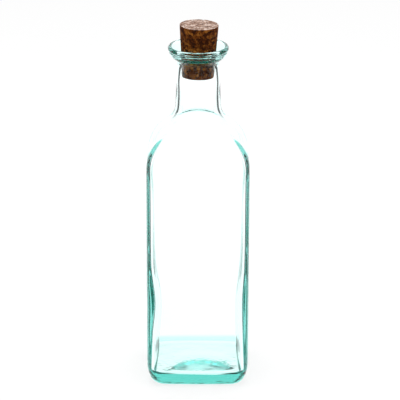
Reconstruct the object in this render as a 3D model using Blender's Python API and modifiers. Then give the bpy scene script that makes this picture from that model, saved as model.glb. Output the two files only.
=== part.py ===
"""Square glass bottle with rounded shoulders, a flared lip and a tapered cork stopper.

Metres, +Z up. The origin is the centre of the base, on the surface that the bottle stands on.
The glass is one closed skin, lofted through rounded-square sections that turn round at the neck.
The cork is a turned, tapered plug that seats in the throat and pulls straight up.
"""

import math

import bmesh
import bpy
from mathutils import Vector

# Cork stopper
cork_top_radius = 0.0131
cork_bottom_radius = 0.0107
cork_length = 0.0360
cork_rim_rounding = 0.0006
cork_depth_below_lip = 0.0213
cork_lean = math.radians(1.2)
cork_sides = 64
cork_rounding_steps = 3

# Mouth of the bottle: the seat that holds the cork, and outside it the bead and the flared lip
seat_gap = 0.0003
seat_height = 0.0065
seat_depth_below_lip = 0.0144
throat_wall = 0.0029
finish_height = 0.0101
bead_swell = 0.0008
bead_width = 0.0016
lip_overhang = 0.0064
lip_edge_radius = 0.0014
lip_edge_height = 0.0009

# Neck
neck_length = 0.0308
neck_spread = 0.0012
neck_wall = 0.0020
throat_relief_height = 0.0070
neck_root_height = 0.0080
neck_root_spread = 0.0028

# Shoulder and body
shoulder_height = 0.0310
body_height = 0.1560
body_width = 0.0700
body_corner_radius = 0.0095
base_corner_radius = 0.0140
side_wall = 0.0034
shoulder_wall = 0.0030

# Base
base_thickness = 0.0090
heel_inset = 0.0072
heel_height = 0.0150
heel_thickening = 0.0012
heel_thickening_height = 0.0500
inside_heel_radius = 0.0075
inside_corner_radius = 0.0078
bearing_width = 0.0055
punt_depth = 0.0016
punt_slope_width = 0.0060
floor_crown = 0.0007

# How finely the sections and the outline are divided
flat_steps = 4
corner_steps = 3
arc_steps = 4
edge_steps = 6
shoulder_steps = 12
sharp_angle = math.radians(40)
merge_distance = 0.00001

# Shape of the curves, as shares of the sizes that they run between
shoulder_side_pull_share = 0.70
shoulder_top_pull_share = 0.40
shoulder_top_drop_share = 0.18
root_pull_share = 0.50
bead_pull_share = 0.55
flare_low_pull_share = 0.25
flare_high_pull_share = 0.50
mouth_rim_pull_share = 0.55
mouth_seat_pull_share = 0.45
crown_ring_shares = (0.85, 0.45)
thickening_ring_shares = (0.0, 0.35, 0.70)

body_half = body_width / 2
base_of_root = body_height + shoulder_height
base_of_neck = base_of_root + neck_root_height
base_of_finish = base_of_neck + neck_length
glass_height = base_of_finish + finish_height
cork_bottom = glass_height - cork_depth_below_lip


def cork_radius_at(height):
    """Radius of the cork's side at a height above the base."""
    share = (height - cork_bottom) / cork_length
    return cork_bottom_radius + (cork_top_radius - cork_bottom_radius) * share


seat_bottom = glass_height - seat_depth_below_lip
seat_top = seat_bottom + seat_height
seat_bottom_radius = cork_radius_at(seat_bottom) + seat_gap
seat_top_radius = cork_radius_at(seat_top) + seat_gap
neck_top_radius = seat_bottom_radius + throat_wall
neck_base_radius = neck_top_radius + neck_spread
root_radius = neck_base_radius + neck_root_spread
lip_radius = neck_top_radius + lip_overhang


def arc(centre, across, up, start, end, steps):
    """Points of an arc as (radius, height), with half-axes across and up, from start to end in degrees."""
    points = []
    for k in range(steps + 1):
        angle = math.radians(start + (end - start) * k / steps)
        points.append((centre[0] + across * math.cos(angle), centre[1] + up * math.sin(angle)))
    return points


def bezier(start, start_pull, end_pull, end, steps):
    """Points of a cubic curve in the (radius, height) plane."""
    points = []
    for k in range(steps + 1):
        t = k / steps
        weights = ((1 - t) ** 3, 3 * (1 - t) ** 2 * t, 3 * (1 - t) * t**2, t**3)
        corners = (start, start_pull, end_pull, end)
        points.append(tuple(sum(w * c[axis] for w, c in zip(weights, corners)) for axis in (0, 1)))
    return points


def shoulder_curve(side_half, side_top, root_half, root_height):
    """The rounded shoulder, from the top of a straight side in to the root of the neck."""
    rise = root_height - side_top
    run = side_half - root_half
    side_pull = (side_half, side_top + rise * shoulder_side_pull_share)
    top_pull = (root_half + run * shoulder_top_pull_share, root_height - rise * shoulder_top_drop_share)
    return bezier((side_half, side_top), side_pull, top_pull, (root_half, root_height), shoulder_steps)


def root_curve(root_half, root_height, neck_half, neck_height):
    """The hollow curve where the shoulder sweeps up into the neck."""
    rise = neck_height - root_height
    run = root_half - neck_half
    low_pull = (root_half - run * root_pull_share, root_height + rise * root_pull_share**2)
    high_pull = (neck_half, neck_height - rise * root_pull_share)
    return bezier((root_half, root_height), low_pull, high_pull, (neck_half, neck_height), arc_steps)


def blend(share):
    """Smooth step from 0 to 1."""
    share = min(max(share, 0.0), 1.0)
    return share * share * (3 - 2 * share)


def as_rings(outline, square_corner, square_half, round_from, round_to):
    """Gives each outline point its corner radius: square below round_from, a circle above round_to."""
    rings = []
    for half, height in outline:
        share = blend((height - round_from) / (round_to - round_from))
        square_share = min(square_corner / min(half, square_half), 1.0)
        rings.append((half, height, half * (square_share + (1 - square_share) * share)))
    return rings


def underside_rings():
    """From the middle of the shallow punt out over the bearing ring and up round the heel."""
    bearing_outer = body_half - heel_inset
    bearing_inner = bearing_outer - bearing_width
    slope_inner = bearing_inner - punt_slope_width
    outline = [(slope_inner * share, punt_depth) for share in reversed(crown_ring_shares)]
    outline += bezier(
        (slope_inner, punt_depth),
        (slope_inner + punt_slope_width / 2, punt_depth),
        (bearing_inner - punt_slope_width / 2, 0),
        (bearing_inner, 0),
        arc_steps,
    )
    rings = [(half, height, min(base_corner_radius, half)) for half, height in outline]
    heel_centre = (bearing_outer, heel_height)
    for half, height in arc(heel_centre, heel_inset, heel_height, -90, 0, edge_steps):
        share = blend(height / heel_height)
        rings.append((half, height, base_corner_radius + (body_corner_radius - base_corner_radius) * share))
    return rings


def outside_rings():
    """Up the side, over the shoulder, up the neck and round the bead to the top of the lip."""
    outline = shoulder_curve(body_half, body_height, root_radius, base_of_root)
    outline += root_curve(root_radius, base_of_root, neck_base_radius, base_of_neck)[1:]
    bead_radius = neck_top_radius + bead_swell
    bead_top = base_of_finish + bead_width
    outline += bezier(
        (neck_top_radius, base_of_finish),
        (neck_top_radius + bead_swell * bead_pull_share, base_of_finish),
        (bead_radius, bead_top - bead_width * bead_pull_share),
        (bead_radius, bead_top),
        arc_steps,
    )
    edge_top = glass_height - lip_edge_radius
    edge_low = edge_top - lip_edge_height
    flare_height = edge_low - bead_top
    outline += bezier(
        (bead_radius, bead_top),
        (bead_radius, bead_top + flare_height * flare_low_pull_share),
        (lip_radius, bead_top + flare_height * flare_high_pull_share),
        (lip_radius, edge_low),
        edge_steps,
    )[1:]
    edge_centre = (lip_radius - lip_edge_radius, edge_top)
    outline += arc(edge_centre, lip_edge_radius, lip_edge_radius, 0, 90, arc_steps)
    return as_rings(outline, body_corner_radius, body_half, body_height, base_of_root)


def inside_rings():
    """From the lip into the mouth, through the cork's seat, and down the inside to the floor."""
    mouth_radius = lip_radius - lip_edge_radius
    mouth_width = mouth_radius - seat_top_radius
    outline = bezier(
        (mouth_radius, glass_height),
        (mouth_radius - mouth_width * mouth_rim_pull_share, glass_height),
        (seat_top_radius, glass_height - (glass_height - seat_top) * mouth_seat_pull_share),
        (seat_top_radius, seat_top),
        edge_steps,
    )[1:]
    relief_bottom = seat_bottom - throat_relief_height
    relief_share = (base_of_finish - relief_bottom) / neck_length
    relief_radius = neck_top_radius + neck_spread * relief_share - neck_wall
    outline += bezier(
        (seat_bottom_radius, seat_bottom),
        (seat_bottom_radius, seat_bottom - throat_relief_height / 2),
        (relief_radius, relief_bottom + throat_relief_height / 2),
        (relief_radius, relief_bottom),
        arc_steps,
    )
    root_half = root_radius - shoulder_wall
    root_height = base_of_root - shoulder_wall
    side_half = body_half - side_wall
    root = root_curve(root_half, root_height, neck_base_radius - neck_wall, base_of_neck)
    outline += list(reversed(root))
    outline += list(reversed(shoulder_curve(side_half, body_height, root_half, root_height)))[1:]
    rings = as_rings(outline, inside_corner_radius, side_half, body_height, root_height)
    return rings + floor_rings(side_half)


def floor_rings(side_half):
    """The wall thickens towards the heel, turns in round it and runs over the slightly crowned floor."""
    heel_half = side_half - heel_thickening
    heel_top = base_thickness + inside_heel_radius
    outline = []
    for share in thickening_ring_shares:
        height = heel_top + heel_thickening_height * (1 - share)
        outline.append((side_half - heel_thickening * blend(share), height))
    floor_half = heel_half - inside_heel_radius
    outline += arc((floor_half, heel_top), inside_heel_radius, inside_heel_radius, 0, -90, edge_steps)
    for share in crown_ring_shares:
        crown = floor_crown * (1 - share**2)
        outline.append((floor_half * share, base_thickness + crown))
    return [(half, height, min(inside_corner_radius, half)) for half, height in outline]


def section_angles():
    """Directions from the axis: even along the flats of the body and closer round its corners."""
    centre = body_half - body_corner_radius
    octant = [math.atan2(centre * k / flat_steps, body_half) for k in range(flat_steps)]
    for k in range(corner_steps):
        turn = math.radians(45) * k / corner_steps
        across = centre + body_corner_radius * math.cos(turn)
        along = centre + body_corner_radius * math.sin(turn)
        octant.append(math.atan2(along, across))
    quadrant = octant + [math.radians(45)] + [math.radians(90) - angle for angle in reversed(octant[1:])]
    return [angle + math.radians(90) * turn for turn in range(4) for angle in quadrant]


def section_radius(angle, half, corner):
    """Distance from the axis to a rounded square, or a circle where corner equals half."""
    along, across = sorted((abs(math.cos(angle)), abs(math.sin(angle))))
    centre = half - corner
    if half * along / across <= centre:
        return half / across
    reach = centre * (along + across)
    return reach + math.sqrt(max(reach**2 - 2 * centre**2 + corner**2, 0.0))


def loft(name, rings, angles):
    """A closed skin through the rings, capped at its first and last ring."""
    mesh = bpy.data.meshes.new(name)
    shape = bmesh.new()
    loops = []
    for half, height, corner in rings:
        radii = [section_radius(angle, half, corner) for angle in angles]
        loops.append(
            [shape.verts.new((r * math.cos(a), r * math.sin(a), height)) for r, a in zip(radii, angles)]
        )
    count = len(angles)
    for low, high in zip(loops, loops[1:]):
        for k in range(count):
            after = (k + 1) % count
            shape.faces.new((low[k], low[after], high[after], high[k]))
    for loop, height in ((loops[0], rings[0][1]), (loops[-1], rings[-1][1])):
        middle = shape.verts.new((0, 0, height))
        for k in range(count):
            shape.faces.new((middle, loop[k], loop[(k + 1) % count]))
    bmesh.ops.recalc_face_normals(shape, faces=shape.faces[:])
    shape.to_mesh(mesh)
    shape.free()
    return mesh


def smooth(mesh):
    """Shades round surfaces smooth and keeps the edges that are steeper than sharp_angle."""
    mesh.shade_smooth()
    mesh.set_sharp_from_angle(angle=sharp_angle)


def material(name, colour, roughness, transmission=0.0, refraction=1.45):
    """A Principled surface in the part's own colour."""
    finish = bpy.data.materials.new(name)
    finish.use_nodes = True
    finish.diffuse_color = colour
    surface = finish.node_tree.nodes["Principled BSDF"]
    surface.inputs["Base Color"].default_value = colour
    surface.inputs["Roughness"].default_value = roughness
    surface.inputs["Metallic"].default_value = 0.0
    surface.inputs["Transmission Weight"].default_value = transmission
    surface.inputs["IOR"].default_value = refraction
    return finish


def build_glass(collection):
    """The bottle itself: body, shoulder, neck, bead and lip are one piece of glass."""
    mesh = loft("glass_bottle", underside_rings() + outside_rings() + inside_rings(), section_angles())
    smooth(mesh)
    mesh.materials.append(material("pale_green_glass", (0.72, 0.93, 0.89, 1.0), 0.03, 1.0, 1.5))
    glass = bpy.data.objects.new("glass_bottle", mesh)
    collection.objects.link(glass)
    return glass


def build_cork(collection):
    """The tapered stopper, turned about its own axis, with its rims just rubbed round."""
    lean_height = (seat_bottom + seat_top) / 2
    top = cork_bottom + cork_length - lean_height
    bottom = cork_bottom - lean_height
    edge = cork_rim_rounding
    outline = [(0.0, top)]
    outline += arc((cork_top_radius - edge, top - edge), edge, edge, 90, 0, cork_rounding_steps)
    outline += arc((cork_bottom_radius - edge, bottom + edge), edge, edge, 0, -90, cork_rounding_steps)
    outline += [(0.0, bottom)]
    mesh = bpy.data.meshes.new("cork_stopper")
    points = [Vector((radius, 0, height)) for radius, height in outline]
    mesh.from_pydata(points, [(k, k + 1) for k in range(len(points) - 1)], [])
    mesh.materials.append(material("pressed_cork", (0.27, 0.15, 0.075, 1.0), 0.85))
    cork = bpy.data.objects.new("cork_stopper", mesh)
    cork.location = (0, 0, lean_height)
    cork.rotation_euler = (0, cork_lean, 0)
    turned = cork.modifiers.new("turned", "SCREW")
    turned.axis = "Z"
    turned.angle = math.radians(360)
    turned.steps = cork_sides
    turned.render_steps = cork_sides
    turned.use_merge_vertices = True
    turned.merge_threshold = merge_distance
    turned.use_smooth_shade = True
    collection.objects.link(cork)
    return cork


def main():
    for thing in list(bpy.data.objects):
        bpy.data.objects.remove(thing)
    parts = bpy.data.collections.new("bottle_with_cork")
    bpy.context.scene.collection.children.link(parts)
    build_glass(parts)
    build_cork(parts)


main()
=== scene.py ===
# Square bottle of recycled glass with its cork, dressed for a studio shot on white
import math

import bmesh
import bpy
from mathutils import Matrix, Vector


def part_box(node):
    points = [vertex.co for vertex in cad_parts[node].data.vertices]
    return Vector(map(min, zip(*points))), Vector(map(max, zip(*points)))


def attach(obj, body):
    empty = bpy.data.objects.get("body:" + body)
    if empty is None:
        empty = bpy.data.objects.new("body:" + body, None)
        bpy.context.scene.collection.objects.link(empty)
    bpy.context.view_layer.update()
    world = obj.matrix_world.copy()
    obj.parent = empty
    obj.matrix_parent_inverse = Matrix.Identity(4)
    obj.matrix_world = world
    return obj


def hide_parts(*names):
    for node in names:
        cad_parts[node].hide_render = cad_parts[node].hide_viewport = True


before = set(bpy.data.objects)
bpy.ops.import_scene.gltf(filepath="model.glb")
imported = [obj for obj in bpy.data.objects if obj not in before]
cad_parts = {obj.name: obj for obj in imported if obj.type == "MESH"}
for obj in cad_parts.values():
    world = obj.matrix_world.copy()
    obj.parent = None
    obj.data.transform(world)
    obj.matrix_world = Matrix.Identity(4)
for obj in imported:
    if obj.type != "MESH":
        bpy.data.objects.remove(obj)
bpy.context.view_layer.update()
glassLow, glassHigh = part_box("glass_bottle")
print("frame loaded:", sorted(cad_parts))


# Small helpers for modelling as by hand

sameSpot = 1e-6  # two points nearer than this are one


def deselectAll():
    if bpy.context.mode != "OBJECT":
        bpy.ops.object.mode_set(mode="OBJECT")
    bpy.ops.object.select_all(action="DESELECT")


def activate(*pieces):
    deselectAll()
    for piece in pieces:
        piece.select_set(True)
    bpy.context.view_layer.objects.active = pieces[0]


def editMesh():
    return bmesh.from_edit_mesh(bpy.context.active_object.data)


def pick(test, kind="VERT"):
    # selects the vertices, edges or faces that pass the test, and nothing else
    bpy.ops.mesh.select_mode(type=kind)
    bpy.ops.mesh.select_all(action="DESELECT")
    shape = editMesh()
    found = {"VERT": shape.verts, "EDGE": shape.edges, "FACE": shape.faces}[kind]
    for element in found:
        if test(element):
            element.select_set(True)
    shape.select_flush_mode()
    bmesh.update_edit_mesh(bpy.context.active_object.data)


def pickLowestRing():
    lowest = min(vert.co.z for vert in editMesh().verts)
    pick(lambda vert: vert.co.z < lowest + sameSpot)


def blendShare(share):
    # 0 to 1 with a soft start and end
    share = min(max(share, 0.0), 1.0)
    return share * share * (3 - 2 * share)


# Curves are lists of (half width, height)

def straight(start, end, steps):
    # the points from start up to, and without, the end
    return [tuple(a + (b - a) * k / steps for a, b in zip(start, end)) for k in range(steps)]


def bezier(points, steps):
    curve = []
    for k in range(steps + 1):
        t = k / steps
        weights = ((1 - t) ** 3, 3 * (1 - t) ** 2 * t, 3 * (1 - t) * t * t, t ** 3)
        curve.append(tuple(sum(w * p[axis] for w, p in zip(weights, points)) for axis in (0, 1)))
    return curve


def smoothCurve(points, steps):
    # a rounded curve through every point
    curve = []
    last = len(points) - 1
    for k in range(last):
        around = [points[min(max(k + j, 0), last)] for j in (-1, 0, 1, 2)]
        for step in range(steps):
            t = step / steps
            weights = (-t + 2 * t * t - t ** 3, 2 - 5 * t * t + 3 * t ** 3,
                       t + 4 * t * t - 3 * t ** 3, t ** 3 - t * t)
            curve.append(tuple(sum(w * p[axis] for w, p in zip(weights, around)) / 2 for axis in (0, 1)))
    return curve + [points[-1]]


def arc(centre, across, up, start, end, steps):
    curve = []
    for k in range(steps + 1):
        angle = math.radians(start + (end - start) * k / steps)
        curve.append((centre[0] + across * math.cos(angle), centre[1] + up * math.sin(angle)))
    return curve


# Shader maths reads as plain expressions, and one method adds any other node

class Value:
    # one number socket
    def __init__(self, tree, socket):
        self.tree = tree
        self.socket = socket

    def math(self, operation, *others):
        node = self.tree.nodes.new("ShaderNodeMath")
        node.operation = operation
        for place, given in enumerate((self,) + others):
            if isinstance(given, Value):
                self.tree.links.new(given.socket, node.inputs[place])
            else:
                node.inputs[place].default_value = given
        return Value(self.tree, node.outputs[0])

    def __add__(self, other):
        return self.math("ADD", other)

    __radd__ = __add__

    def __mul__(self, other):
        return self.math("MULTIPLY", other)

    __rmul__ = __mul__

    def __sub__(self, other):
        return self.math("SUBTRACT", other)

    def __rsub__(self, other):
        return self.math("MULTIPLY", -1).math("ADD", other)

    def __truediv__(self, other):
        return self.math("DIVIDE", other)

    def __gt__(self, other):
        return self.math("GREATER_THAN", other)

    def __lt__(self, other):
        return self.math("LESS_THAN", other)

    def __abs__(self):
        return self.math("ABSOLUTE")

    def least(self, other):
        return self.math("MINIMUM", other)

    def most(self, other):
        return self.math("MAXIMUM", other)


class Shader:
    # a material's or world's tree; an input named i6 is the node's seventh socket
    def __init__(self, owner):
        owner.use_nodes = True
        self.tree = owner.node_tree
        self.tree.nodes.clear()

    def node(self, kind, settings=None, **inputs):
        made = self.tree.nodes.new("ShaderNode" + kind)
        for name, value in (settings or {}).items():
            if name == "stops":
                ramp = made.color_ramp
                while len(ramp.elements) < len(value):
                    ramp.elements.new(0.5)
                for element, (place, colour) in zip(ramp.elements, value):
                    element.position = place
                    element.color = colour
            else:
                setattr(made, name, value)
        for name, value in inputs.items():
            socket = made.inputs[int(name[1:])] if name[1:].isdigit() else made.inputs[name.replace("_", " ")]
            if isinstance(value, Value):
                self.tree.links.new(value.socket, socket)
            elif isinstance(value, bpy.types.NodeSocket):
                self.tree.links.new(value, socket)
            else:
                socket.default_value = value
        return made

    def value(self, socket):
        return Value(self.tree, socket)

    def parts(self, vector):
        # the x, y and z of a vector
        return [self.value(socket) for socket in self.node("SeparateXYZ", Vector=vector).outputs]

    def noise(self, place, scale, detail=2.0, **inputs):
        return self.value(self.node("TexNoise", Vector=place, Scale=scale, Detail=detail, **inputs).outputs[0])

    def ramped(self, value, start, end, curve="SMOOTHSTEP"):
        # 0 at the start, 1 at the end
        ramp = self.node("MapRange", {"interpolation_type": curve}, Value=value, From_Min=start, From_Max=end)
        return self.value(ramp.outputs[0])

    def mix(self, share, first, second):
        return self.node("Mix", {"data_type": "RGBA"}, i0=share, i6=first, i7=second).outputs[2]


def dress(piece, material, body, node):
    # gives a finished piece its material, hangs it under its body's empty and hides the frame's part that it
    # takes the place of
    piece.data.materials.clear()
    piece.data.materials.append(material)
    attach(piece, body)
    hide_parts(node)


# Glass bottle: the outside and the inside are raised as two stacks of rings, then joined at the rim

bottle = {
    # outside, from the base up: half widths and heights in metres
    "bodyHalf": glassHigh.x - 0.00002,  # a hair inside the solid
    "height": glassHigh.z,
    "cornerRadius": 0.0095,
    "cornerSteps": 12,
    "flatCuts": 7,
    "puntDepth": 0.00035,
    "puntRings": 7,
    "bearingWidth": 0.0055,
    "heelInset": 0.0050,
    "heelHeight": 0.0150,
    "heelRings": 10,
    "heelRoundShare": 0.08,  # 0 for the body's square, 1 for a circle
    "poleRoundShare": 0.99,
    "bodyTop": 0.1560,
    "bodyRings": 8,
    "rootTop": 0.1870,
    "rootHalf": 0.01836,
    "roundingDelay": 1.5,
    # how far the ends of the shoulder and of the neck's root pull on their curves, as shares of run and rise
    "shoulderRings": 16,
    "shoulderStartShare": 0.70,
    "shoulderEndShares": (0.40, 0.18),
    "rootRings": 6,
    "rootStartShares": (0.50, 0.25),
    "rootEndShare": 0.50,
    # neck and lip
    "neckLow": 0.1950,
    "neckLowHalf": 0.01556,
    "neckHigh": 0.2220,
    "neckHighHalf": 0.01450,
    "neckRings": 5,
    "flare": [(0.01450, 0.2220), (0.01445, 0.2232), (0.01452, 0.2244), (0.01504, 0.2256), (0.01646, 0.2270),
              (0.01801, 0.2284), (0.01918, 0.2298), (0.01988, 0.2314), (0.02038, 0.2328), (0.02076, 0.2338)],
    "rimWidth": 0.0032,
    "rimSteps": 5,
    "rimBridge": 18.0,  # the degrees of the rim that are left for the bridge to close
    "lipSteps": 3,
    # inside: the bowl of the mouth, the walls as (thickness, height), and the floor
    "bowl": [(0.01146, 0.2215), (0.01165, 0.2245), (0.01200, 0.2275), (0.01225, 0.2284), (0.01340, 0.2293),
             (0.01560, 0.2302), (0.01600, 0.2313), (0.01700, 0.2326), (0.01756, 0.2335)],
    "seatGap": 0.001,  # the rings of the neck stop this far below the seat
    "thinningLow": 0.1970,
    "thinningHigh": 0.2150,
    "thickeningLow": 0.2080,
    "neckWall": 0.0018,
    "sideWalls": [(0.0044, 0.0115), (0.0049, 0.0300), (0.0050, 0.0500), (0.0048, 0.0660), (0.0041, 0.0850),
                  (0.0035, 0.1050), (0.0034, 0.1300), (0.0032, 0.1450), (0.0028, 0.1560)],
    "sideSteps": 2,
    "insideCorner": 0.0046,
    "insideHeel": 0.0012,
    "insideHeelRings": 8,
    "floorHeight": 0.0083,
    "floorCrown": 0.0014,
    "floorTilt": math.radians(1.2),
    "floorRoundShare": 0.08,
    "floorRings": 14,
    # the inner skin is uneven: the box that is pushed, which way, and how far around it
    "waves": [
        ((-0.024, 0.028, 0.034), (0.024, 0.035, 0.075), (0, 0.0016, 0), 0.022),
        ((-0.024, -0.035, 0.030), (0.024, -0.028, 0.050), (0, -0.0004, 0), 0.020),
        ((-0.035, -0.035, 0.056), (-0.026, -0.024, 0.066), (0.0016, 0.0006, 0), 0.020),
        ((0.026, -0.035, 0.058), (0.035, -0.024, 0.070), (-0.0005, 0, 0), 0.020),
        ((-0.010, -0.0245, 0.000), (0.019, -0.0195, 0.014), (0, 0, -0.0013), 0.0080),
        ((-0.006, -0.0120, 0.000), (0.014, -0.0060, 0.014), (0, 0, 0.0011), 0.015),
    ],
    # look: the glass itself
    "refraction": 1.5,
    "reflectionTint": (0.15, 0.15, 0.15, 1),
    "depthColour": (0.0, 0.73, 0.67, 1),
    "depthStrength": 23.0,
    # look: painted shade, a deeper colour painted on the outside of the lip and of the heel, where light piped
    # through the walls shows darker
    "lipPaintedShade": (0.66, 0.94, 0.91, 1),
    "lipPaintedShadeRise": (0.2225, 0.2265),
    "lipPaintedShadeFade": (0.2325, 0.2352),
    "lipSplitHalf": 0.0135,
    "lipSplitHeight": 0.2240,
    "lipSplitSlope": 0.55,
    "heelPaintedShade": (0.50, 0.86, 0.82, 1),
    "heelPaintedShadeRise": (0.0010, 0.0022),
    "heelPaintedShadeFade": (0.0085, 0.0130),
    "heelPaintedShadeHalf": 0.0310,
    # look: fine relief from the mould
    "pebbleScale": 420.0,
    "pebbleTop": 0.0007,
    "pebbleDepth": 0.00012,
    "rippleScale": (70.0, 70.0, 420.0),
    "rippleFade": (0.0130, 0.0005),  # none above the first height, full below the second
    "rippleShare": 3.0,
}
insideHalf = bottle["bodyHalf"] - bottle["sideWalls"][0][0]
insideHeelTop = bottle["sideWalls"][0][1]
insideHeelHeight = insideHeelTop - bottle["floorHeight"]


def roundedSection(name, half, corner, height):
    # one ring of edges: a plane whose corners are bevelled and whose long edges are divided
    deselectAll()
    bpy.ops.mesh.primitive_plane_add(size=2 * half, location=(0, 0, height))
    section = bpy.context.active_object
    section.name = name
    bpy.ops.object.transform_apply(location=True, rotation=True, scale=True)
    bpy.ops.object.mode_set(mode="EDIT")
    bpy.ops.mesh.select_all(action="SELECT")
    bpy.ops.mesh.bevel(offset=corner, affect="VERTICES", segments=bottle["cornerSteps"], profile=0.5)
    bpy.ops.mesh.select_all(action="SELECT")
    bpy.ops.mesh.delete(type="ONLY_FACE")
    pick(lambda edge: edge.calc_length() > half, "EDGE")
    bpy.ops.mesh.subdivide(number_cuts=bottle["flatCuts"])
    bpy.ops.mesh.select_mode(type="VERT")
    bpy.ops.mesh.select_all(action="SELECT")
    return section


def nextRing(half, height, roundShare):
    # extrudes the selected ring, moves it to its height, rounds it towards a circle and scales it
    ringHeight = next(vert.co.z for vert in editMesh().verts if vert.select)
    bpy.ops.mesh.extrude_edges_move(TRANSFORM_OT_translate={"value": (0, 0, height - ringHeight)})
    if roundShare > 0:
        bpy.ops.transform.tosphere(value=roundShare)
    widest = max(vert.co.x for vert in editMesh().verts if vert.select)
    bpy.ops.transform.resize(value=(half / widest, half / widest, 1))


def raiseRings(stations):
    # stations are (half width, height, how round, from 0 for the body's square to 1 for a circle)
    roundSoFar = stations[0][2]
    for half, height, roundness in stations[1:]:
        step = 1.0 if roundness >= 1 else 1 - (1 - roundness) / (1 - roundSoFar)
        nextRing(half, height, step if roundSoFar < 1 else 0.0)
        roundSoFar = roundness


def withRoundness(curve):
    # the section stays nearly square in the lower half of the shoulder
    rise = bottle["rootTop"] - bottle["bodyTop"]
    return [(half, height, blendShare((height - bottle["bodyTop"]) / rise) ** bottle["roundingDelay"])
            for half, height in curve]


def rimArc(start, end):
    # the rounded top edge of the lip, from its outside at 0 degrees to its inside at 180
    edgeHalf, edgeLow = bottle["flare"][-1]
    halfWidth = bottle["rimWidth"] / 2
    return arc((edgeHalf - halfWidth, edgeLow), halfWidth, bottle["height"] - edgeLow, start, end,
               bottle["rimSteps"])


def upperCurve():
    # shoulder, root of the neck, neck, flared lip and the outer half of its rim
    s = bottle
    bodyTop = (s["bodyHalf"], s["bodyTop"])
    rootTop = (s["rootHalf"], s["rootTop"])
    neckLow = (s["neckLowHalf"], s["neckLow"])
    neckHigh = (s["neckHighHalf"], s["neckHigh"])
    run, rise = bodyTop[0] - rootTop[0], rootTop[1] - bodyTop[1]
    runShare, riseShare = s["shoulderEndShares"]
    shoulder = bezier([bodyTop, (bodyTop[0], bodyTop[1] + rise * s["shoulderStartShare"]),
                       (rootTop[0] + run * runShare, rootTop[1] - rise * riseShare), rootTop],
                      s["shoulderRings"])
    run, rise = rootTop[0] - neckLow[0], neckLow[1] - rootTop[1]
    runShare, riseShare = s["rootStartShares"]
    root = bezier([rootTop, (rootTop[0] - run * runShare, rootTop[1] + rise * riseShare),
                   (neckLow[0], neckLow[1] - rise * s["rootEndShare"]), neckLow], s["rootRings"])
    neck = straight(neckLow, neckHigh, s["neckRings"])
    return shoulder + root[1:] + neck[1:] + smoothCurve(s["flare"], s["lipSteps"]) + rimArc(0, 90)[1:]


def outerStations():
    side = straight((bottle["bodyHalf"], bottle["heelHeight"]), (bottle["bodyHalf"], bottle["bodyTop"]),
                    bottle["bodyRings"])
    return withRoundness(side + upperCurve())


def heelStations():
    s = bottle
    centre = (s["bodyHalf"] - s["heelInset"], s["heelHeight"])
    curve = arc(centre, s["heelInset"], s["heelHeight"], 0, -90, s["heelRings"])
    return [(half, height, s["heelRoundShare"] * blendShare(1 - height / s["heelHeight"]))
            for half, height in curve]


def roundedInwards(curve, edgeHalf, edgeRoundShare):
    # rings across a base or floor: nearly square at the edge, a circle at the middle
    extra = bottle["poleRoundShare"] - edgeRoundShare
    return [(half, height, edgeRoundShare + extra * blendShare(1 - half / edgeHalf)) for half, height in curve]


def puntStations():
    # flat bearing ring, and a shallow hollow under the base
    s = bottle
    heelHalf = s["bodyHalf"] - s["heelInset"]
    hollowHalf = heelHalf - s["bearingWidth"]
    shares = [k / s["puntRings"] for k in range(s["puntRings"], 0, -1)]
    hollow = [(hollowHalf * share, s["puntDepth"] * blendShare(1 - share)) for share in shares]
    return roundedInwards([(hollowHalf + s["bearingWidth"] / 2, 0.0)] + hollow, heelHalf, s["heelRoundShare"])


def thicknessAt(height):
    # wall above the body: even round the shoulder, thin in the neck, thicker again where the cork seats
    s = bottle
    seatHalf, seatHeight = s["bowl"][0]
    shoulderWall = s["sideWalls"][-1][0]
    seatWall = s["neckHighHalf"] - seatHalf
    neckward = blendShare((height - s["thinningLow"]) / (s["thinningHigh"] - s["thinningLow"]))
    seatward = blendShare((height - s["thickeningLow"]) / (seatHeight - s["thickeningLow"]))
    return shoulderWall + (s["neckWall"] - shoulderWall) * neckward + (seatWall - s["neckWall"]) * seatward


def insetCurve(curve):
    # the same curve moved inwards, square to itself, by the thickness of the wall
    moved = []
    for k, (half, height) in enumerate(curve):
        before = curve[max(k - 1, 0)]
        after = curve[min(k + 1, len(curve) - 1)]
        along = Vector((after[0] - before[0], after[1] - before[1])).normalized()
        wall = thicknessAt(height)
        moved.append((half - along.y * wall, height + along.x * wall))
    return moved


def innerStations():
    s = bottle
    side = [(s["bodyHalf"] - wall, height) for wall, height in smoothCurve(s["sideWalls"], s["sideSteps"])]
    outer = [point for point in upperCurve() if point[1] < s["bowl"][0][1] - s["seatGap"]]
    inset = [(half, height, station[2])
             for (half, height), station in zip(insetCurve(outer), withRoundness(outer))]
    bowl = smoothCurve(s["bowl"], s["lipSteps"]) + rimArc(180, 90 + s["rimBridge"])
    return withRoundness(side[:-1]) + inset + withRoundness(bowl)


def domeAt(half):
    # the floor inside is pushed up towards its middle
    return bottle["floorCrown"] * (1 - (half / insideHalf) ** 2)


def innerHeelStations():
    s = bottle
    curve = arc((insideHalf - s["insideHeel"], insideHeelTop), s["insideHeel"], insideHeelHeight, 0, -90,
                s["insideHeelRings"])
    return [(half, height + domeAt(half),
             s["floorRoundShare"] * blendShare((insideHeelTop - height) / insideHeelHeight))
            for half, height in curve]


def floorStations():
    s = bottle
    edgeHalf = insideHalf - s["insideHeel"]
    halves = [edgeHalf * k / s["floorRings"] for k in range(s["floorRings"] - 1, 0, -1)]
    curve = [(half, s["floorHeight"] + domeAt(half)) for half in halves]
    return roundedInwards(curve, edgeHalf, s["floorRoundShare"])


def closeRing():
    # the last ring is extruded once more and drawn together to a point
    bpy.ops.mesh.extrude_edges_move(TRANSFORM_OT_translate={"value": (0, 0, 0)})
    bpy.ops.mesh.merge(type="CENTER")


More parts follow.
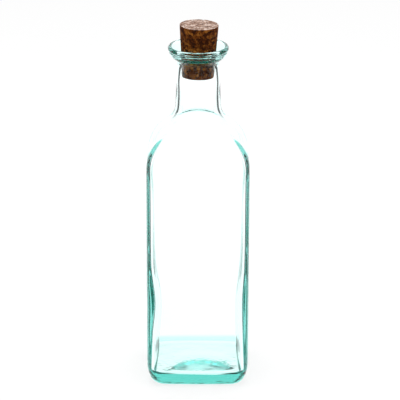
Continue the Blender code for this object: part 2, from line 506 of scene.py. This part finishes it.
def tiltFloor():
    # the floor is a little higher at the back
    pick(lambda vert: vert.co.z < insideHeelTop + sameSpot)
    bpy.ops.transform.rotate(value=-bottle["floorTilt"], orient_axis="X",
                             center_override=(0, -insideHalf, insideHeelTop))


def pushInnerWall(low, high, move, reach):
    # pushes the part of the inner skin within a box, with soft falloff along the surface around it
    pick(lambda vert: all(low[k] <= vert.co[k] <= high[k] for k in range(3)))
    bpy.ops.transform.translate(value=move, use_proportional_edit=True, use_proportional_connected=True,
                                proportional_edit_falloff="SMOOTH", proportional_size=reach)


def buildGlass():
    s = bottle
    outside = roundedSection("glass", s["bodyHalf"], s["cornerRadius"], s["heelHeight"])
    raiseRings(outerStations())
    pickLowestRing()
    raiseRings(heelStations() + puntStations())
    closeRing()
    print("glass outside:", len(editMesh().verts), "vertices")

    inside = roundedSection("glassInside", insideHalf, s["insideCorner"], insideHeelTop)
    raiseRings(innerStations())
    pickLowestRing()
    raiseRings(innerHeelStations() + floorStations())
    closeRing()
    tiltFloor()
    for low, high, move, reach in s["waves"]:
        pushInnerWall(low, high, move, reach)
    print("glass inside:", len(editMesh().verts), "vertices")

    activate(outside, inside)
    bpy.ops.object.join()
    bpy.ops.object.mode_set(mode="EDIT")
    bpy.ops.mesh.select_mode(type="EDGE")
    bpy.ops.mesh.select_all(action="DESELECT")
    bpy.ops.mesh.select_non_manifold()
    bpy.ops.mesh.bridge_edge_loops()
    bpy.ops.mesh.select_all(action="SELECT")
    bpy.ops.mesh.normals_make_consistent(inside=False)
    bpy.ops.object.mode_set(mode="OBJECT")
    bpy.ops.object.shade_smooth()
    finer = outside.modifiers.new("finer", "SUBSURF")
    finer.levels = 1
    finer.render_levels = 1
    bpy.ops.object.modifier_apply(modifier="finer")
    return outside


def glassMaterial():
    s = bottle
    material = bpy.data.materials.new("aquaGlass")
    shader = Shader(material)
    place = shader.node("TexCoord").outputs["Object"]
    across, along, height = shader.parts(place)

    # the underside is faintly pebbled, from the mould, and the heel is rippled lengthways
    pebbles = shader.noise(place, s["pebbleScale"])
    stretched = shader.node("VectorMath", {"operation": "MULTIPLY"}, i0=place, i1=s["rippleScale"])
    ripples = shader.noise(stretched.outputs[0], 1.0) * shader.ramped(height, *s["rippleFade"])
    relief = pebbles * (height < s["pebbleTop"]) + ripples * s["rippleShare"]
    bump = shader.node("Bump", Strength=1.0, Distance=s["pebbleDepth"], Height=relief)

    # painted shade: the outside of the lip and of the heel is painted a deeper colour, standing in for the
    # darker teal that light piped there through the walls shows
    def band(rise, fade):
        return shader.ramped(height, *rise) * (1 - shader.ramped(height, *fade))

    flat = shader.node("VectorMath", {"operation": "MULTIPLY"}, i0=place, i1=(1, 1, 0))
    length = shader.node("VectorMath", {"operation": "LENGTH"}, i0=flat.outputs[0])
    radius = shader.value(length.outputs["Value"])
    lipSplit = s["lipSplitHalf"] + (height - s["lipSplitHeight"]) * s["lipSplitSlope"]
    lipShadeShare = (radius > lipSplit) * band(s["lipPaintedShadeRise"], s["lipPaintedShadeFade"])
    outsideHeel = abs(across).most(abs(along)) > s["heelPaintedShadeHalf"]
    heelShadeShare = outsideHeel * band(s["heelPaintedShadeRise"], s["heelPaintedShadeFade"])
    # white glass, with the painted shade colours of the lip and the heel mixed in
    paintedShade = shader.mix(heelShadeShare, shader.mix(lipShadeShare, (1, 1, 1, 1), s["lipPaintedShade"]), s["heelPaintedShade"])

    surface = shader.node("BsdfPrincipled", Base_Color=paintedShade, Roughness=0.0, IOR=s["refraction"],
                          Transmission_Weight=1.0, Specular_Tint=s["reflectionTint"], Normal=bump.outputs[0])
    depth = shader.node("VolumeAbsorption", Color=s["depthColour"], Density=s["depthStrength"])
    shader.node("OutputMaterial", Surface=surface.outputs[0], Volume=depth.outputs[0])
    return material


glass = buildGlass()
dress(glass, glassMaterial(), "bottle", "glass_bottle")
print("glass built:", len(glass.data.polygons), "faces")


# Cork stopper

stopper = {
    # form
    "topHalf": 0.0132,
    "bottomHalf": 0.0108,
    "length": 0.0359,
    "bottom": 0.2146,
    "lean": math.radians(1.2),
    "leanHeight": 0.22475,
    "rim": 0.0006,
    "rimSteps": 3,
    "sides": 144,
    "heightCuts": 63,
    "capRings": 11,
    "capStep": 0.0009,
    "grainDepth": 0.00028,
    "grainSize": 0.0011,
    "grainDetail": 3,
    "grainMiddle": 0.75,
    "sharpAngle": math.radians(50),
    # small chips broken out of it: where, which way they go in, and how far around
    "chips": [
        ((0.0112, -0.0012, 0.2206), (-0.0009, 0.0002, 0.0), 0.0011),
        ((0.0030, 0.0124, 0.2506), (0.0, -0.0008, -0.0005), 0.0010),
        ((-0.0098, -0.0086, 0.2506), (0.0006, 0.0005, -0.0004), 0.0009),
        ((0.0006, -0.0129, 0.2506), (0.0, 0.0006, -0.0005), 0.0008),
        ((-0.0112, 0.0010, 0.2330), (0.0006, 0.0, 0.0), 0.0010),
    ],
    # look: granules and the seams between them
    "granuleScale": 520.0,
    "granuleDrift": 0.0007,
    "driftScale": 700.0,
    "seamWidth": 0.10,
    "patchScale": 230.0,
    "patchDetail": 3.0,
    "fineScale": 2600.0,
    "fineDetail": 4.0,
    "fineRoughness": 0.7,
    "granuleShare": 0.80,
    "patchShare": 0.62,
    "fineShare": 1.40,
    "darkening": 0.86,
    "seamDarkening": 0.16,
    "sideStops": [(0.0, (0.010, 0.002, 0.0004, 1)), (0.30, (0.042, 0.008, 0.0007, 1)),
                  (0.62, (0.125, 0.030, 0.0025, 1)), (1.0, (0.330, 0.120, 0.016, 1))],
    # colours for the ends: paler partly as cut cork and partly as painted light from the lamp above
    "cutAndLitStops": [(0.0, (0.13, 0.060, 0.042, 1)), (0.35, (0.32, 0.200, 0.150, 1)),
                 (0.7, (0.52, 0.370, 0.300, 1)), (1.0, (0.82, 0.680, 0.610, 1))],
    "cutAndLitDepth": 0.0005,
    # look: dark specks and pits, as (scale, share of cells, size in the cell): the specks are the cork's own
    # dark bits, and in the pits the same dark is painted shade
    "specks": ((1300.0, 0.20, 0.44), (520.0, 0.13, 0.38)),
    "speckAndPitShadeColour": (0.012, 0.004, 0.002, 1),
    "speckShare": 0.96,
    "toneRelief": 0.8,
    "seamRelief": 0.35,
    "pitRelief": 0.8,
    "reliefStrength": 0.55,
    "reliefDepth": 0.0004,
    "roughness": 0.85,
    "shine": 0.08,
}


def buildCork():
    s = stopper
    deselectAll()
    bpy.ops.mesh.primitive_cone_add(vertices=s["sides"], radius1=s["bottomHalf"], radius2=s["topHalf"],
                                    depth=s["length"], location=(0, 0, s["bottom"] + s["length"] / 2))
    cork = bpy.context.active_object
    cork.name = "cork"
    bpy.ops.object.transform_apply(location=True)
    bpy.ops.object.mode_set(mode="EDIT")
    pick(lambda edge: abs(edge.verts[0].co.z - edge.verts[1].co.z) < sameSpot, "EDGE")
    bpy.ops.mesh.bevel(offset=s["rim"], segments=s["rimSteps"])
    pick(lambda edge: edge.calc_length() > s["length"] / 2, "EDGE")
    bpy.ops.mesh.subdivide(number_cuts=s["heightCuts"])
    for upwards in (1, -1):
        # the one face of each end that still has a corner for every side of the cork
        pick(lambda face: face.normal.z * upwards > 0 and len(face.verts) == s["sides"], "FACE")
        for ring in range(s["capRings"]):
            bpy.ops.mesh.inset(thickness=s["capStep"])
    bpy.ops.mesh.select_mode(type="VERT")
    for place, move, reach in s["chips"]:
        nearest = min(editMesh().verts, key=lambda vert: (vert.co - Vector(place)).length)
        centre = nearest.co.copy()
        pick(lambda vert: (vert.co - centre).length < sameSpot)
        bpy.ops.transform.translate(value=move, use_proportional_edit=True, proportional_size=reach,
                                    proportional_edit_falloff="SHARP")
    bpy.ops.mesh.select_all(action="SELECT")
    bpy.ops.transform.rotate(value=-s["lean"], orient_axis="Y", center_override=(0, 0, s["leanHeight"]))
    bpy.ops.mesh.normals_make_consistent(inside=False)
    bpy.ops.object.mode_set(mode="OBJECT")
    grain = bpy.data.textures.new("corkGrain", "CLOUDS")
    grain.noise_scale = s["grainSize"]
    grain.noise_depth = s["grainDetail"]
    rough = cork.modifiers.new("rough", "DISPLACE")
    rough.texture = grain
    rough.texture_coords = "LOCAL"
    rough.strength = s["grainDepth"]
    rough.mid_level = s["grainMiddle"]
    bpy.ops.object.modifier_apply(modifier="rough")
    bpy.ops.object.shade_smooth_by_angle(angle=s["sharpAngle"])
    return cork


def corkMaterial():
    s = stopper
    material = bpy.data.materials.new("pressedCork")
    shader = Shader(material)
    place = shader.node("TexCoord").outputs["Object"]

    # granules with wandering edges, darker along their seams
    wander = shader.node("TexNoise", Vector=place, Scale=s["driftScale"], Detail=2.0)
    drift = shader.node("VectorMath", {"operation": "MULTIPLY_ADD"}, i0=wander.outputs["Color"],
                        i1=(s["granuleDrift"] * 2,) * 3, i2=(-s["granuleDrift"],) * 3)
    warped = shader.node("VectorMath", {"operation": "ADD"}, i0=place, i1=drift.outputs[0]).outputs[0]
    granule = shader.node("TexVoronoi", Vector=warped, Scale=s["granuleScale"])
    tone = shader.value(shader.node("SeparateColor", Color=granule.outputs["Color"]).outputs[0])
    edge = shader.node("TexVoronoi", {"feature": "DISTANCE_TO_EDGE"}, Vector=warped, Scale=s["granuleScale"])
    seam = shader.ramped(edge.outputs[0], 0.0, s["seamWidth"], "LINEAR")
    patch = shader.noise(place, s["patchScale"], s["patchDetail"])
    fine = shader.noise(place, s["fineScale"], s["fineDetail"], Roughness=s["fineRoughness"])
    mixed = (tone * s["granuleShare"] + patch * s["patchShare"] + fine * s["fineShare"]
             - s["darkening"] - (1 - seam) * s["seamDarkening"])
    side = shader.node("ValToRGB", {"stops": s["sideStops"]}, Fac=mixed)
    cutAndLit = shader.node("ValToRGB", {"stops": s["cutAndLitStops"]}, Fac=mixed)

    # the cut ends are paler than the moulded side: partly their own colour, partly painted light, the lamp's
    # light and sheen on the top end
    parts = shader.parts(place)
    lengthways = parts[0] * math.sin(s["lean"]) + (parts[2] - s["leanHeight"]) * math.cos(s["lean"])
    bottomEnd = s["bottom"] - s["leanHeight"]
    topEnd = bottomEnd + s["length"]
    isCutAndLit = (lengthways > topEnd - s["cutAndLitDepth"]) + (lengthways < bottomEnd + s["cutAndLitDepth"])
    colour = shader.mix(isCutAndLit, side.outputs[0], cutAndLit.outputs[0])

    # dark specks, the cork's own, and pits, whose near-black is painted shade
    pits = 0.0
    for scale, share, reach in s["specks"]:
        speck = shader.node("TexVoronoi", Vector=warped, Scale=scale)
        chosen = shader.value(shader.node("SeparateColor", Color=speck.outputs["Color"]).outputs[1])
        pits = ((chosen < share) * (shader.value(speck.outputs["Distance"]) < reach)).most(pits)
    spotted = shader.mix(pits * s["speckShare"], colour, s["speckAndPitShadeColour"])

    relief = mixed * s["toneRelief"] + seam * s["seamRelief"] - pits * s["pitRelief"]
    bump = shader.node("Bump", Strength=s["reliefStrength"], Distance=s["reliefDepth"], Height=relief)
    surface = shader.node("BsdfPrincipled", Base_Color=spotted, Roughness=s["roughness"],
                          Specular_IOR_Level=s["shine"], Normal=bump.outputs[0])
    shader.node("OutputMaterial", Surface=surface.outputs[0])
    return material


cork = buildCork()
dress(cork, corkMaterial(), "cork", "cork_stopper")
print("cork built:", len(cork.data.polygons), "faces")


# Studio: a white floor that runs out of sight, a white world, one soft lamp above

studio = {
    "floorSize": 12.0,
    "floorDrop": 0.0002,
    "floorColour": (0.98, 0.98, 0.98, 1),
    "floorGlow": 1.05,  # the white that the camera sees
    "shadowShare": 0.25,  # how much of the floor takes light and shadow
    "lampHeight": 1.4,
    "lampSize": 1.2,
    "lampPower": 12.0,
    "seenLight": 1.25,  # the white that shows in the glass
    "fillLight": 0.55,  # the world's light on the cork and the floor
    # how diagonal a direction is, from 0 square to a face of the bottle to 1 over a corner
    "cardStart": 0.45,
    "cardEnd": 0.80,
    "cardDarknessBelow": 1.0,
    "cardDarknessAbove": 0.60,
    "leastSide": 0.001,  # keeps the share from a division by nought
}
white = (1, 1, 1, 1)
black = (0, 0, 0, 1)


def glassRay(shader, path):
    # 1 for a ray that comes through glass or off it
    return shader.value(path.outputs["Is Transmission Ray"]).most(shader.value(path.outputs["Is Glossy Ray"]))


def cardShare(shader, path, direction):
    # dark cards stand diagonally to the bottle, out of sight: only light that has passed through the glass
    # and was also turned inside it meets them
    across, along = [abs(part) for part in shader.parts(direction)[:2]]
    diagonal = across.least(along) / across.most(along).most(studio["leastSide"])
    turned = shader.value(path.outputs["Glossy Depth"]) > 0.5  # at least once
    passed = shader.value(path.outputs["Transmission Depth"]) > 0.5
    return turned * passed * shader.ramped(diagonal, studio["cardStart"], studio["cardEnd"])


def floorMaterial():
    material = bpy.data.materials.new("whiteFloor")
    shader = Shader(material)
    path = shader.node("LightPath")
    dark = cardShare(shader, path, shader.node("TexCoord").outputs["Object"]) * studio["cardDarknessBelow"]
    paint = shader.node("BsdfDiffuse", Color=studio["floorColour"])
    lit = shader.node("Emission", Color=white, Strength=studio["floorGlow"])
    direct = shader.node("MixShader", i0=studio["shadowShare"], i1=lit.outputs[0], i2=paint.outputs[0])
    glow = shader.node("Emission", Color=shader.mix(dark, white, black), Strength=studio["seenLight"])
    mixed = shader.node("MixShader", i0=glassRay(shader, path), i1=direct.outputs[0], i2=glow.outputs[0])
    shader.node("OutputMaterial", Surface=mixed.outputs[0])
    return material


def buildFloor():
    deselectAll()
    bpy.ops.mesh.primitive_plane_add(size=studio["floorSize"], location=(0, 0, glassLow.z - studio["floorDrop"]))
    floor = bpy.context.active_object
    floor.name = "floor"
    floor.data.materials.append(floorMaterial())


def buildWorld():
    world = bpy.data.worlds.new("whiteStudio")
    bpy.context.scene.world = world
    shader = Shader(world)
    path = shader.node("LightPath")
    dark = cardShare(shader, path, shader.node("TexCoord").outputs["Generated"]) * studio["cardDarknessAbove"]
    straightOn = shader.value(path.outputs["Is Camera Ray"])
    seen = glassRay(shader, path)
    strength = (straightOn + seen * studio["seenLight"] * (1 - dark)
                + (1 - straightOn.most(seen)) * studio["fillLight"])
    background = shader.node("Background", Color=white, Strength=strength)
    shader.node("OutputWorld", Surface=background.outputs[0])


def hangLamp():
    lamp = bpy.data.lights.new("overhead", "AREA")
    lamp.shape = "DISK"
    lamp.size = studio["lampSize"]
    lamp.energy = studio["lampPower"]
    lampObject = bpy.data.objects.new("overhead", lamp)
    lampObject.location = (0.0, 0.0, studio["lampHeight"])
    bpy.context.scene.collection.objects.link(lampObject)


buildFloor()
buildWorld()
hangLamp()
print("studio built")


# Camera, from the photograph's angle

view = {
    "location": (0.0014, -1.478, 0.658),
    "pitch": math.radians(19.82),
    "roll": math.radians(0.15),
    "lens": 205.3,
    "sensor": 36.0,
    # light needs many turns to get through two walls of glass
    "bounces": 32,
    "glassBounces": 24,
}


def placeCamera():
    data = bpy.data.cameras.new("camera")
    data.lens = view["lens"]
    data.sensor_width = view["sensor"]
    camera = bpy.data.objects.new("camera", data)
    camera.location = view["location"]
    facing = Matrix.Rotation(math.radians(90) - view["pitch"], 3, "X") @ Matrix.Rotation(view["roll"], 3, "Z")
    camera.rotation_euler = facing.to_euler()
    bpy.context.scene.collection.objects.link(camera)
    bpy.context.scene.camera = camera


placeCamera()
scene = bpy.context.scene
scene.view_settings.view_transform = "Standard"
scene.cycles.max_bounces = view["bounces"]
scene.cycles.glossy_bounces = view["glassBounces"]
scene.cycles.transmission_bounces = view["glassBounces"]
print("camera placed")
